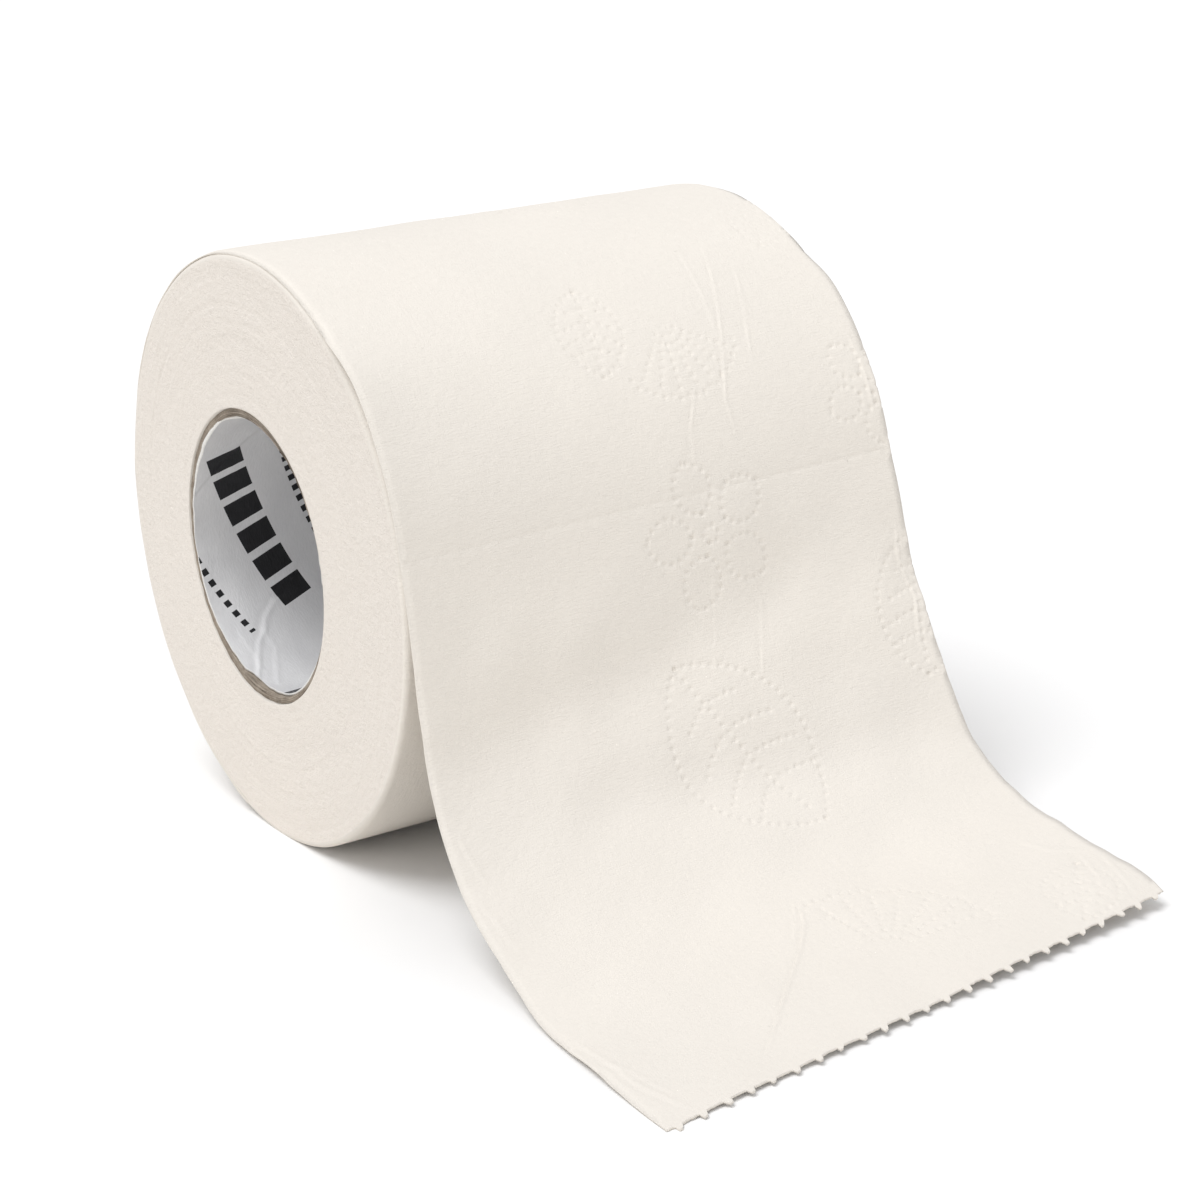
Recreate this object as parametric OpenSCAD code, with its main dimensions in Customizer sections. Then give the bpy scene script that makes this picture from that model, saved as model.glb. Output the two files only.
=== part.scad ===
// A toilet paper roll lying on its side, with its last sheet pulled forward onto the floor.
// Frame: +X along the core, -Y towards the loose sheet, +Z up, origin at the middle of the bore.

/* [Roll] */
// Diameter over the wound tissue
roll_d = 100; // [85:1:125]
// Width of the wound tissue, along the core
roll_w = 93; // [80:1:110]
// Radius of the soft rim at both ends
rim_r = 1.6; // [0.5:0.1:3]
// Depth of the flat spot that the roll rests on
flat_depth = 0.4; // [0.2:0.05:1]
// How much higher the roll's middle lies at the far end, where it is pressed less flat
far_rise = 0.8; // [0:0.1:2]
// How much larger the roll's radius is at the far end
far_swell = 0.5; // [0:0.1:1]

/* [Turns] */
// Number of turns that show as ridges on each end
turns = 10; // [6:1:11]
// Depth of the valleys between the ridges
turn_h = 0.35; // [0.1:0.05:0.6]

/* [Core] */
// Outside diameter of the cardboard tube
core_d = 49.6; // [40:0.2:56]
// Wall of the cardboard tube
core_wall = 1; // [0.6:0.1:2]
// Distance of each tube end inside the end face
core_inset = 0.3; // [0:0.1:1.5]
// Clearance between the tissue and the tube
core_gap = 0.1; // [0.05:0.05:0.3]
// Distance of the tube's centre behind the middle of the roll
core_back = 1.8; // [0:0.1:4]
// Distance of the tube's centre below the middle of the roll
core_drop = 0.9; // [0:0.1:3]

/* [Liner] */
// Wall of the paper liner inside the tube
liner_wall = 0.5; // [0.3:0.05:1]
// Clearance between the tube and the liner
liner_gap = 0.1; // [0.05:0.05:0.3]
// Distance of each liner end inside the tube end
liner_inset = 1.2; // [0.5:0.1:4]

/* [Loose sheet] */
// Thickness of the embossed tissue
sheet_t = 0.5; // [0.4:0.05:1]
// How far the sheet stands past each end face
sheet_over = 0.7; // [0:0.1:1.5]
// How far the sheet's near edge stands off the roll
edge_off = 2.9; // [0.4:0.1:4]
// Angle above mid height at which the near edge leaves the roll
leave_near = 12; // [4:1:20]
// Angle above mid height at which the far edge leaves the roll
leave_far = 14; // [4:1:20]
// Distance from the roll's front to the foot of the bend, near edge
foot_near = 36; // [28:0.5:50]
// Height of the foot of the bend above the floor, near edge
foot_rise_near = 2.8; // [1:0.1:8]
// Distance from the roll's front to the foot of the bend, far edge
foot_far = 36; // [30:0.5:52]
// Height of the foot of the bend above the floor, far edge
foot_rise_far = 7.5; // [3:0.5:20]
// Distance from the roll's front to the torn corner, near edge
reach_near = 78; // [62:0.1:95]
// Distance from the roll's front to the torn corner, far edge
reach_far = 65.7; // [62:0.1:95]
// Height of the torn corner above the floor, far edge
lift_far = 1.8; // [0:0.1:12]
// How far the sheet spreads sideways at the torn corner, near edge
spread_near = 7.3; // [0:0.1:9]
// How far the sheet draws in sideways at the torn corner, far edge
draw_far = 1; // [0:0.1:3]
// Depth of the perforation line where the sheet leaves the roll
perf_depth = 0.2; // [0.05:0.05:0.3]

/* [Torn edge] */
// Distance between the paper nubs that the torn perforation leaves
nub_pitch = 3.9; // [2.5:0.1:8]
// Length of the nubs
nub_l = 1; // [0.5:0.1:2]
// Width of the nubs
nub_w = 1.2; // [0.6:0.1:2]

/* [Hidden] */
roll_r = roll_d / 2;
core_r = core_d / 2;
bore_r = core_r + core_gap;
liner_r = core_r - core_wall - liner_gap;
core_len = roll_w - 2 * core_inset;
liner_len = core_len - 2 * liner_inset;
front_y = -core_back - roll_r;

// Rows round the wound turns, from the loose sheet under the roll and up its back to the top
under_roll_rows = 14;
flat_rows = 2;
rear_rows = 30;
back_rows = under_roll_rows + flat_rows + rear_rows;
// Rows down the front of the roll, down the bend and along the floor
wrap_rows = 9;
bend_rows = 14;
run_rows = 7;
// Angle above mid height at which the last turn begins to count as the sheet
wrap_from = 62;
// Angle below the leaving line at which the underside of the sheet meets the turns
nip_angle = 4;
// Least half angle of the flat spot, where the roll hardly touches the floor, and how far ahead
// of the bottom the radius is taken for it
least_half = 1.5;
flat_ahead = 10;
// Angles above mid height between which the near edge lifts off and sinks back, and how soon
// that dies out across the roll
stand_full = 40;
stand_wane = 30;
stand_gone = -20;
stand_power = 6;
// Handles of the bend's curve and of the curve on the floor, near edge and far edge
hang = [28, 32];
sweep = [36, 17.5];
run_out = [6, 14];
torn_handle = [6, 10];
// Slopes below level at the foot of the bend and at the torn edge, near edge and far edge
foot_slope = [21, 8];
torn_slope = [4, 23];
// Share of the wrapped stretch at which the perforation's groove begins, and over which the
// sheet's edges come out from the rim
groove_from = 0.985;
edge_out = 1 / 3;
// The first free row lies this share of the bend past the leaving line
first_free = 0.02;
// Step along a curve for its direction
tangent_step = 0.01;
// Parts of a cell of the torn edge from bay to bay, and how far each point draws back: the
// middle of the bay, then the base and the tip of the nub
nub_half = nub_w / nub_pitch / 2;
tip_share = 0.7;
bay_back = 1.15;
nub_at = [0, 0.5 - nub_half, 0.5 - tip_share * nub_half, 0.5 + tip_share * nub_half, 0.5 + nub_half];
nub_back = [bay_back, 1, 0, 0, 1];
nub_vary = 0.15;
nub_turn = 97;
// Where the rim's rounding begins, as a share of its radius
rim_share = 0.3;
// Widths of the plain bands inside the innermost turn and outside the outermost
inner_band = 0.8;
outer_band = 0.5;
// Depth of the shadow line under the sheet's overhanging edge
edge_valley = 0.8;
// Cuts run this far past what they cut
past = 4;
round_fn = 120;

function mix(a, b, t) = a + (b - a) * t;
function pick(pair, t) = mix(pair[0], pair[1], t);
function ramp(t) = let (c = max(0, min(1, t))) c * c * (3 - 2 * c);
function between(a, b, x) = ramp((x - a) / (b - a));
function cubic(a, b, c, d, t) =
    pow(1 - t, 3) * a + 3 * pow(1 - t, 2) * t * b + 3 * (1 - t) * t * t * c + t * t * t * d;
function dir(angle) = [cos(angle), sin(angle)];
function last(list) = list[len(list) - 1];

// Angles run from 0 at the back over the top to 180 at the front, seen against the core's axis;
// t runs from 0 at the near end of the roll to 1 at the far end
function leave(t) = mix(leave_near, leave_far, t);
function nip(t) = 180 - leave(t) + nip_angle;
function mid(t) = [-core_back, core_drop + far_rise * t];

// Outside of the wound turns: one turn of a spiral that ends a sheet's thickness further out
function wound_r(t, angle) = roll_r + far_swell * t - sheet_t * (1 - (angle - nip(t)) / 360);
floor_z = mid(0)[1] - wound_r(0, 270) + flat_depth;
function on_floor(p) = [p[0], max(p[1], floor_z)];

// Angle of each row round the back, with the two edges of the flat spot among them
function flat_half(t) =
    max(least_half, acos(min(1, (mid(t)[1] - floor_z) / wound_r(t, 270 - flat_ahead))));
function back_angle(t, i) =
    i <= under_roll_rows
    ? mix(nip(t), 270 - flat_half(t), i / under_roll_rows)
    : i <= under_roll_rows + flat_rows
    ? 270 + flat_half(t) * mix(-1, 1, (i - under_roll_rows) / flat_rows)
    : mix(270 + flat_half(t), 540 - wrap_from, (i - under_roll_rows - flat_rows) / rear_rows);

// Outside of the last turn, proud of the roll along the near edge
function edge_stand(t, lift) =
    edge_off * pow(1 - t, stand_power) * between(wrap_from, stand_full, lift)
    * between(stand_gone, stand_wane, lift);
function wrap_point(t, u) =
    let (lift = mix(wrap_from, leave(t), u))
    mid(t) + (wound_r(t, 540 - lift) + edge_stand(t, lift)) * dir(180 - lift);

// Corners and directions of the free stretch
function leave_dir(t) = -[sin(leave(t)), cos(leave(t))];
function leave_at(t) = wrap_point(t, 1) + sheet_t / 2 * dir(-leave(t));
function foot_dir(t) = -dir(pick(foot_slope, t));
function foot_at(t) =
    [front_y - mix(foot_near, foot_far, t), floor_z + mix(foot_rise_near, foot_rise_far, t)];
function torn_dir(t) = -dir(pick(torn_slope, t));
function torn_at(t) =
    [front_y - mix(reach_near, reach_far, t), floor_z + sheet_t / 2 + mix(0, lift_far, t)];

// Middle of the free sheet: v runs 0 to 1 down the bend and 1 to 2 out to the torn edge
function free_mid(t, v) =
    v <= 1
    ? cubic(leave_at(t), leave_at(t) + pick(hang, t) * leave_dir(t),
        foot_at(t) - pick(sweep, t) * foot_dir(t), foot_at(t), v)
    : cubic(foot_at(t), foot_at(t) + pick(run_out, t) * foot_dir(t),
        torn_at(t) - pick(torn_handle, t) * torn_dir(t), torn_at(t), v - 1);
function free_side(t, v) =
    let (d = free_mid(t, v + tangent_step) - free_mid(t, v - tangent_step)) [d[1], -d[0]] / norm(d);
function spread(t, v) = -mix(spread_near, draw_far, t) * ramp(v / 2);
function free_x(t, v) = (t - 0.5) * (roll_w + 2 * sheet_over) + spread(t, v);
// side is 1 on the outside of the sheet and -1 on its underside
function free_point(t, v, side) =
    let (p = free_mid(t, v) + side * sheet_t / 2 * free_side(t, v))
    [free_x(t, v), p[0], max(p[1], floor_z + (side > 0 ? sheet_t : 0))];

// One row of points across the roll, for each kind of row
columns = floor((roll_w + 2 * sheet_over) / nub_pitch);
across = [for (j = [0 : columns]) j / columns];
function back_row(i) = [for (t = across)
    let (angle = back_angle(t, i), p = on_floor(mid(t) + wound_r(t, angle) * dir(angle)))
    [(t - 0.5) * (roll_w - 2 * rim_r), p[0], p[1]]];
function nip_row() = [for (t = across)
    let (p = mid(t) + wound_r(t, nip(t)) * dir(nip(t))) [(t - 0.5) * roll_w, p[0], p[1]]];
function wrap_row(u, groove) = [for (t = across)
    let (
        p = wrap_point(t, u) - groove * dir(180 - leave(t)),
        over = mix(-rim_r, sheet_over, ramp(u / edge_out))
    ) [(t - 0.5) * (roll_w + 2 * over), p[0], p[1]]];
function free_row(v, side) = [for (t = across) free_point(t, v, side)];
nub_n = len(nub_at);
function torn_row(side) = concat(
    [for (c = [0 : columns - 1], q = [0 : nub_n - 1])
        let (
            t = (c + nub_at[q]) / columns,
            back = nub_l * (1 + nub_vary * sin(c * nub_turn)) * nub_back[q]
        ) free_point(t, 2 - back / (3 * pick(torn_handle, t)), side)],
    [free_point(1, 2, side)]
);

// The rows, in order along the sheet and then round the roll
free_v = concat(
    [first_free],
    [for (i = [1 : bend_rows]) i / bend_rows],
    [for (i = [1 : run_rows - 1]) 1 + i / run_rows]
);
outer_rows = concat(
    [for (i = [0 : wrap_rows - 1]) wrap_row(i / wrap_rows, 0)],
    [wrap_row(groove_from, 0), wrap_row(1, perf_depth)],
    [for (v = free_v) free_row(v, 1)]
);
under_rows = concat([nip_row()], [for (i = [1 : len(free_v) - 1]) free_row(free_v[i], -1)]);
back_rows_list = [for (i = [1 : back_rows - 1]) back_row(i)];
// The row of the outside at which the sheet is free of the roll
free_from = len(outer_rows) - len(free_v);

// Points of each end: the outline of the roll, two rows of the rim, the turns and the bore
function outline(end) =
    let (j = end * columns)
    concat(
        [under_rows[0][j]],
        [for (row = back_rows_list) row[j]],
        [for (i = [0 : free_from]) outer_rows[i][j]]
    );
// Angle of a point of the outline, counted on from the start of the last turn
function turn_angle(end, p) =
    let (a = atan2(p[2] - mid(end)[1], p[1] - mid(end)[0]), b = a < 0 ? a + 360 : a)
    b < nip(end) - nip_angle / 2 ? b + 360 : b;
// How far a point of the outline has turned into the sheet's overhanging edge
function edge_share(i) = i < back_rows ? 0 : ramp((i - back_rows) / wrap_rows / edge_out);
function end_point(end, x, centre, r, angle) =
    let (p = on_floor(centre + r * dir(angle))) [(2 * end - 1) * x, p[0], p[1]];
function rim_row(end, k) =
    let (line = outline(end))
    [for (i = [0 : len(line) - 1])
        let (
            share = edge_share(i),
            top = norm([line[i][1], line[i][2]] - mid(end)),
            r = k == 0 ? mix(top - rim_share * rim_r, top - sheet_t, share)
                : roll_r + far_swell * end - rim_r,
            x = k == 0 ? mix(roll_w / 2 - rim_share * rim_r, roll_w / 2 + sheet_over, share)
                : roll_w / 2 - edge_valley * share
        ) end_point(end, x, mid(end), r, turn_angle(end, line[i]))];
turn_rings = 2 * turns;
function turn_point(end, k, angle) =
    let (f = (k + 2 * (angle - nip(end)) / 360) / (turn_rings + 2))
    end_point(end, roll_w / 2 - (k % 2 == 0 ? turn_h : 0), mix([0, 0], mid(end), f),
        mix(bore_r + inner_band, roll_r + far_swell * end - rim_r - outer_band, f), angle);
function turn_points(end) =
    let (angles = [for (p = outline(end)) turn_angle(end, p)])
    concat(
        [for (k = [0 : turn_rings], a = angles) turn_point(end, k, a)],
        [for (k = [1, 2]) turn_point(end, turn_rings + k, angles[0])]
    );
function bore_row(end) =
    [for (p = outline(end)) end_point(end, roll_w / 2 - turn_h, [0, 0], bore_r, turn_angle(end, p))];

// Triangles between two rows of point numbers; loop joins the last pair to the first
function strip(a, b) = [for (i = [0 : len(a) - 2])
    each [[a[i], b[i], b[i + 1]], [a[i], b[i + 1], a[i + 1]]]];
function flip(faces) = [for (f = faces) [f[2], f[1], f[0]]];
function facing(end, faces) = end == 1 ? faces : flip(faces);
function loop(list) = concat(list, [list[0]]);
function numbers(from, count) = [for (i = [0 : count - 1]) from + i];
// A coarse row to the fine row of the nubs, which has a bay and a nub for each of its steps
function nubs(coarse, fine) = [for (c = [0 : len(coarse) - 2])
    let (a = coarse[c], b = coarse[c + 1], f = numbers(fine + nub_n * c, nub_n + 1))
    each [[a, f[0], f[1]], [a, f[1], f[2]], [a, f[2], f[3]],
        [a, f[3], b], [b, f[3], f[4]], [b, f[4], f[5]]]];

module tissue_web() {
    n = columns + 1;
    fine_n = nub_n * columns + 1;
    ring_n = back_rows + free_from + 1;
    under_0 = n * len(outer_rows);
    back_0 = under_0 + n * len(under_rows);
    fine_0 = back_0 + n * len(back_rows_list);
    end_0 = fine_0 + 2 * fine_n;
    turn_n = ring_n * (turn_rings + 1) + 2;
    end_n = 3 * ring_n + turn_n;
    outer = [for (i = [0 : len(outer_rows) - 1]) numbers(i * n, n)];
    under = [for (i = [0 : len(under_rows) - 1]) numbers(under_0 + i * n, n)];
    back = [for (i = [0 : len(back_rows_list) - 1]) numbers(back_0 + i * n, n)];
    round_rows = concat([under[0]], back, [outer[0]]);

    sheet_faces = concat(
        [for (i = [0 : len(outer) - 2]) each strip(outer[i], outer[i + 1])],
        nubs(last(outer), fine_0),
        strip(numbers(fine_0, fine_n), numbers(fine_0 + fine_n, fine_n)),
        flip(nubs(last(under), fine_0 + fine_n)),
        [for (i = [len(under) - 1 : -1 : 1]) each strip(under[i], under[i - 1])],
        [for (i = [0 : len(round_rows) - 2]) each strip(round_rows[i], round_rows[i + 1])]
    );
    end_faces = [for (end = [0, 1])
        let (
            j = end * columns,
            at = end_0 + end * end_n,
            line = concat([under[0][j]], [for (r = back) r[j]], [for (i = [0 : free_from]) outer[i][j]]),
            rim_a = numbers(at, ring_n),
            rim_b = numbers(at + ring_n, ring_n),
            bore = numbers(at + 2 * ring_n, ring_n),
            turn_0 = at + 3 * ring_n,
            ring = [for (k = [0 : turn_rings]) numbers(turn_0 + k * ring_n, ring_n)],
            start = concat([for (r = ring) r[0]], [turn_0 + turn_n - 2, turn_0 + turn_n - 1]),
            top = last(ring),
            m = ring_n - 1,
            free_out = concat([for (i = [free_from : len(outer) - 1]) outer[i][j]],
                [fine_0 + end * (fine_n - 1)]),
            free_in = concat([for (i = [0 : len(under) - 1]) under[i][j]],
                [fine_0 + fine_n + end * (fine_n - 1)])
        )
        each facing(end, flip(concat(
            strip(free_out, free_in),
            strip(loop(line), loop(rim_a)),
            strip(loop(rim_a), loop(rim_b)),
            // From the rim to the outermost turn, which ends a pitch further out than it began
            [for (i = [1 : m - 1]) each strip([rim_b[i], rim_b[i + 1]], [top[i], top[i + 1]])],
            [
                [rim_b[0], top[1], rim_b[1]], [rim_b[0], start[turn_rings + 2], top[1]],
                [start[turn_rings + 2], start[turn_rings + 1], top[1]],
                [start[turn_rings + 1], start[turn_rings], top[1]],
                [rim_b[m], top[m], start[turn_rings + 2]], [rim_b[m], start[turn_rings + 2], rim_b[0]]
            ],
            // The turns: each ring runs on into the next but one
            [for (k = [0 : turn_rings - 1]) each strip(ring[k + 1], ring[k])],
            [for (k = [0 : turn_rings - 1])
                each strip([ring[k + 1][m], start[k + 3]], [ring[k][m], start[k + 2]])],
            // From the innermost turn to the bore
            strip(ring[0], bore),
            [
                [ring[0][m], bore[m], start[2]], [start[2], bore[m], start[1]],
                [start[1], bore[m], start[0]], [start[0], bore[m], bore[0]]
            ]
        )))];
    bore_near = numbers(end_0 + 2 * ring_n, ring_n);
    bore_far = numbers(end_0 + end_n + 2 * ring_n, ring_n);

    color([0.96, 0.94, 0.91])
        polyhedron(
            points = concat(
                [for (row = outer_rows) each row],
                [for (row = under_rows) each row],
                [for (row = back_rows_list) each row],
                torn_row(1), torn_row(-1),
                [for (end = [0, 1]) each concat(
                    rim_row(end, 0), rim_row(end, 1), bore_row(end), turn_points(end))]
            ),
            faces = flip(concat(sheet_faces, end_faces, strip(loop(bore_near), loop(bore_far))))
        );
}

module core_tube() {
    color([0.62, 0.57, 0.51])
        rotate([0, 90, 0])
            difference() {
                cylinder(r = core_r, h = core_len, center = true, $fn = round_fn);
                cylinder(r = core_r - core_wall, h = core_len + past, center = true, $fn = round_fn);
            }
}

module core_liner() {
    color([0.83, 0.83, 0.82])
        rotate([0, 90, 0])
            difference() {
                cylinder(r = liner_r, h = liner_len, center = true, $fn = round_fn);
                cylinder(r = liner_r - liner_wall, h = liner_len + past, center = true, $fn = round_fn);
            }
}

tissue_web();
core_tube();
core_liner();
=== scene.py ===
"""Looks of a toilet paper roll lying on its side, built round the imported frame.

Lengths are in millimetres until a mesh is made. In the frame, +X runs along the core,
-Y towards the loose sheet and +Z up, with the origin at the middle of the bore.
t runs across the web, from 0 at the near end of the roll to 1 at the far end.
"""
import math
import bpy
import numpy as np
from mathutils import Matrix, Vector


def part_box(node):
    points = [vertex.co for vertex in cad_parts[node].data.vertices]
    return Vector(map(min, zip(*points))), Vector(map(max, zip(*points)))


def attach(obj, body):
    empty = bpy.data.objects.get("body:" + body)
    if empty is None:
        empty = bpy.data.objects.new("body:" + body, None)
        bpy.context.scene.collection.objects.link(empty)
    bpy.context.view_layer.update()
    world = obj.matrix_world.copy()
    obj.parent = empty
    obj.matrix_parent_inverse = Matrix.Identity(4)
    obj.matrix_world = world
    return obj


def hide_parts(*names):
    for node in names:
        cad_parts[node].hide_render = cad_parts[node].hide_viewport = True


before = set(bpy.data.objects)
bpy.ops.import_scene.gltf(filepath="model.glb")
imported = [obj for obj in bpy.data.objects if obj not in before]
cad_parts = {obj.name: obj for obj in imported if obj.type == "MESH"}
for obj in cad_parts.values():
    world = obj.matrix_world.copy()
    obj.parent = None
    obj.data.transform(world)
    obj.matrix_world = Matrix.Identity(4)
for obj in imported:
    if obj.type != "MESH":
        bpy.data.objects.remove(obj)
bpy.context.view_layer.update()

MM = 0.001
rng = np.random.default_rng(7)
# Texture places of the sheets, the roll's side and the liner are flat mm times this
uv_scale = 0.01

# Roll, as in the part's source; only its rims are crisper
roll_r = 50.0
roll_w = 93.0
rim_r = 1.0
flat_depth = 0.4
far_rise = 0.8
far_swell = 0.5
core_back = 1.8
core_drop = 0.9
bore_r = 24.9
turn_step = 0.5

# Loose sheet, as in the part's source: pairs are for the near edge and the far edge
sheet_over = 0.7
edge_off = 2.9
leave_at_ends = (12, 14)
foot_out = (36, 36)
foot_rise = (2.8, 7.5)
reach = (78, 65.7)
lift = (0, 1.8)
spread_near = 7.3
draw_far = 1.0
hang = (28, 32)
sweep = (36, 17.5)
run_out = (6, 14)
torn_handle = (6, 10)
foot_slope = (21, 8)
torn_slope = (4, 23)
nip_angle = 4
nub_cells = 24
nub_l = 1.0
nub_w = 1.2

# The finished web: real thickness of the tissue, and the height angles at which the sheet
# before the loose one and the sheet before that begin, behind the roll
ply_t = 0.34
layer_gap = 0.03
joint_gap = 0.06
# On the roll, the sheets end this far inside its edges
wrapped_inset = 0.3
loose_from = 138
wrapped_from = 255
perforation_at = 1.7
bottom_r = roll_r - turn_step * (1 - (270 - (180 - leave_at_ends[0] + nip_angle)) / 360)
floor_z = core_drop - bottom_r + flat_depth
sheet_w = roll_w + 2 * sheet_over


# Shape of the web

def mix(a, b, t):
    """From a at t = 0 to b at t = 1, in a straight line."""
    return a + (b - a) * t


def ramp(t):
    """Soft step from 0 to 1 as t goes from 0 to 1."""
    c = np.clip(t, 0, 1)
    return c * c * (3 - 2 * c)


def between(a, b, x):
    """Soft step from 0 to 1 as x goes from a to b."""
    return ramp((x - a) / (b - a))


def cosd(a):
    return np.cos(np.radians(a))


def sind(a):
    return np.sin(np.radians(a))


def leave(t):
    """Height angle at which the loose sheet leaves the roll."""
    return mix(*leave_at_ends, t)


def nip(t):
    """Angle round the roll at which its outermost turn begins, under the loose sheet."""
    return 180 - leave(t) + nip_angle


def mid_z(t):
    """Height of the roll's own middle."""
    return core_drop + far_rise * t


def wound_r(t, angle):
    """Outside of the wound turns: one turn of a spiral, from the nip under the loose sheet."""
    return roll_r + far_swell * t - turn_step * (1 - (angle - nip(t)) / 360)


def edge_stand(t, up):
    """How far the loose sheet's near edge stands off the roll, at the height angle up."""
    return edge_off * (1 - t) ** 6 * between(62, 40, up) * between(-20, 30, up)


def cubic(a, b, c, d, t):
    """Place t, 0 to 1, on a curve from a to d with the handles b and c."""
    return (1 - t) ** 3 * a + 3 * (1 - t) ** 2 * t * b + 3 * (1 - t) * t * t * c + t ** 3 * d


def wrap_yz(t, up):
    """Outside of the last turn."""
    r = wound_r(t, 540 - up) + edge_stand(t, up)
    return -core_back - r * cosd(up), np.maximum(mid_z(t) + r * sind(up), floor_z)


def free_yz(t, v):
    """Outside of the free sheet: v runs 0 to 1 down the bend and 1 to 2 out to the torn edge."""
    front = -core_back - roll_r
    start = wrap_yz(t, leave(t))
    foot = (front - mix(*foot_out, t), floor_z + mix(*foot_rise, t))
    torn = (front - mix(*reach, t), floor_z + ply_t + mix(*lift, t))
    down = (-sind(leave(t)), -cosd(leave(t)))
    fs, ts = mix(*foot_slope, t), mix(*torn_slope, t)
    at_foot, at_torn = (-cosd(fs), -sind(fs)), (-cosd(ts), -sind(ts))
    h, s, o, e = (mix(*pair, t) for pair in (hang, sweep, run_out, torn_handle))
    return [
        np.where(
            v <= 1,
            cubic(start[i], start[i] + h * down[i], foot[i] - s * at_foot[i], foot[i], v),
            cubic(foot[i], foot[i] + o * at_foot[i], torn[i] - e * at_torn[i], torn[i], v - 1),
        )
        for i in (0, 1)
    ]


def web_yz(t, q):
    """Outside of the web: q is -2 to -1 on the sheet behind, -1 to 0 over the top, then free."""
    up = np.interp(q, (-2, -1, 0), (wrapped_from, loose_from, leave(t)))
    wrapped, free = wrap_yz(t, up), free_yz(t, np.clip(q, 0, 2))
    return [np.where(q < 0, w, f) for w, f in zip(wrapped, free)]


def half_width(t, q):
    """Half the web's width: it runs out past the rim of the roll on its way down the front."""
    up = np.interp(q, (-2, -1, 0), (wrapped_from, loose_from, leave(t)))
    return roll_w / 2 + mix(-wrapped_inset, sheet_over, between(62, 45, up))


def rim_drop(x):
    """How far the outside falls away over the soft rims of the roll."""
    past = np.clip(np.abs(x) - (roll_w / 2 - rim_r), 0, rim_r)
    return rim_r - np.sqrt(rim_r ** 2 - past ** 2)


# Fine relief of the sheets, in flat places: x across from the middle, a along from the line
# at which the sheet leaves the roll, towards the torn edge

# Soft valleys: points, depth and half width
valleys = [
    ([(-47, 35), (-31, 32), (-16, 29), (0, 26), (16, 21), (30, 15)], 1.1, 8.0),
    ([(-27, 43), (-4, 47), (18, 48.5), (47, 48)], 0.9, 6.0),
    ([(-47, 60), (-20, 66), (5, 64), (30, 70)], 0.55, 7.0),
    ([(10, 72), (28, 80), (47, 84)], 0.45, 5.0),
]
# Long fine wrinkles: points, height and half width
wrinkles = [
    (
        [(30, -46), (26, -36), (23.3, -29.6), (19, -18.6), (16.8, -11.9), (17.1, -6.7), (16.4, -1)],
        0.16, 0.4,
    ),
    ([(24, -46), (22, -36), (20.4, -27), (19.4, -20)], 0.08, 0.5),
    ([(31.5, -38), (27.9, -28.5), (25.3, -21.1), (23.6, -15)], 0.12, 0.4),
    ([(14.1, -19), (11.8, -14.7), (8.9, -8.5), (7.5, 1)], 0.14, 0.35),
    ([(8.9, 11), (7.9, 19.1), (6.8, 25.1), (5, 28)], 0.12, 0.35),
    ([(14.7, 11), (16.8, 21), (15, 27), (12.5, 35)], 0.12, 0.35),
    ([(9.2, 28.3), (12.5, 36.3), (16.4, 45)], 0.1, 0.4),
    (
        [(1, 70), (-2.9, 78.2), (-6.5, 83), (-12.8, 89.9), (-17.4, 94.9), (-24.3, 102.4), (-29, 107)],
        0.3, 0.32,
    ),
    ([(-0.2, 71), (-4.5, 78.2), (-8, 82.8)], 0.09, 0.35),
    (
        [(-45.5, 84), (-45.4, 90), (-44.8, 96), (-44.4, 102), (-43.3, 106.4), (-42.2, 110.9), (-40.9, 113)],
        0.16, 0.6,
    ),
    ([(-46.5, 92), (-43.6, 98), (-42.6, 103), (-41.5, 107)], 0.12, 0.5),
    ([(-45, 42), (-44.3, 47.4), (-43.6, 50), (-42.2, 53.5)], 0.12, 0.5),
    ([(-46, 52), (-44.5, 58), (-43.5, 66)], 0.1, 0.6),
    ([(45.5, 12), (44.2, 20), (45.6, 27), (43.8, 34), (45, 40)], 0.18, 0.5),
    ([(44.6, -20), (45.4, -12), (44.8, -4)], 0.14, 0.5),
    ([(44, 82), (42, 88), (39.5, 94), (38, 99)], 0.14, 0.5),
    ([(45.8, 86), (44, 92), (42.5, 98)], 0.14, 0.5),
    ([(38, 76), (40.5, 81), (44.5, 84)], 0.12, 0.6),
    ([(-32, 18), (-27.5, 22.5), (-20, 26), (-17, 24), (-25, 19), (-32, 18)], 0.05, 0.6),
    ([(-20, -30), (-19, -20), (-20, -8)], 0.05, 0.5),
    ([(-30, 50), (-27, 54), (-20, 56)], 0.05, 0.6),
    ([(2, -96), (5, -84), (4, -70)], 0.1, 0.5),
    ([(-24, -104), (-21, -92), (-22, -80)], 0.09, 0.5),
    ([(12, -190), (16, -170), (13, -150), (15, -128)], 0.12, 0.45),
    ([(-18, -200), (-20, -176), (-15, -160)], 0.1, 0.45),
]


def spaced(points, step):
    """Points at an even step along a line through points."""
    points = np.asarray(points, float)
    along = np.concatenate([[0], np.cumsum(np.hypot(*np.diff(points, axis=0).T))])
    count = max(2, int(round(along[-1] / step)) + 1)
    places = np.linspace(0, along[-1], count)
    return np.stack([np.interp(places, along, points[:, k]) for k in (0, 1)], 1)


def turned(points, centre, angle):
    """Points turned by an angle and moved to a centre."""
    c, s = cosd(angle), sind(angle)
    points = np.asarray(points)
    return points @ np.array([[c, s], [-s, c]]) + np.asarray(centre)


dot_step = 1.6


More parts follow.
